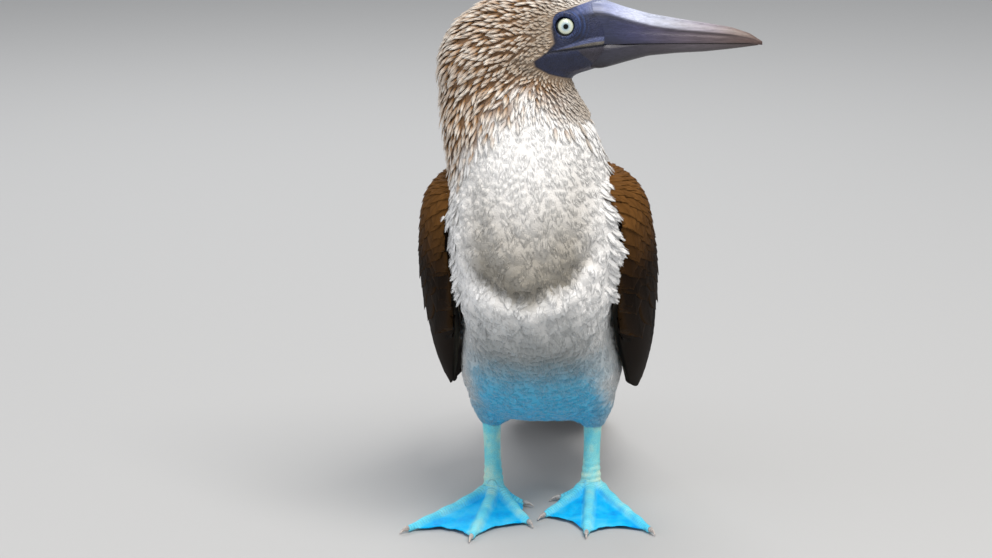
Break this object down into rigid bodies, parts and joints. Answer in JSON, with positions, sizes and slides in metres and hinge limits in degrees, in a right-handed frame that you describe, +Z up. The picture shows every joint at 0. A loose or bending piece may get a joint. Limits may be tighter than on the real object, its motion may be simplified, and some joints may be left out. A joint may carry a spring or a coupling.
{
  "type": "blue footed booby, life-size still model",
  "caption": "Life-size still model of a standing blue-footed booby, its head turned to its left, wings folded, webbed feet flat.",
  "frame": {"origin": "on the floor, under the middle of the bird's overall length and width", "axes": "+Z up, the breast faces -Y, the bird's left side is +X, the bill points to +X"},
  "size_m": [0.2224, 0.4094, 0.35],
  "materials": {
    "white_feathers": "soft white down and small feathers, matt",
    "head_feathers": "narrow cream feathers with cinnamon bases, matt",
    "wing_feathers": "dark brown flight and covert feathers, low sheen",
    "tail_feathers": "dark brown tail feathers, low sheen",
    "foot_skin": "scaly sky blue skin and webs, satin",
    "bill_horn": "slate grey horn, satin, finely grooved",
    "iris": "pale cream iris under a clear wet cornea, glossy",
    "claw_horn": "grey-pink horn, satin"
  },
  "bodies": {
    "root": {"torso": "white_feathers", "neck": "head_feathers", "head": "head_feathers", "eye_right": "iris", "eye_left": "iris", "bill_upper": "bill_horn", "bill_lower": "bill_horn", "wing_left": "wing_feathers", "wing_right": "wing_feathers", "tail": "tail_feathers", "thigh_left": "white_feathers", "leg_left": "foot_skin", "foot_left": "foot_skin", "claw_left_hallux": "claw_horn", "claw_left_inner": "claw_horn", "claw_left_middle": "claw_horn", "claw_left_outer": "claw_horn", "thigh_right": "white_feathers", "leg_right": "foot_skin", "foot_right": "foot_skin", "claw_right_hallux": "claw_horn", "claw_right_inner": "claw_horn", "claw_right_middle": "claw_horn", "claw_right_outer": "claw_horn"}
  },
  "joints": []
}
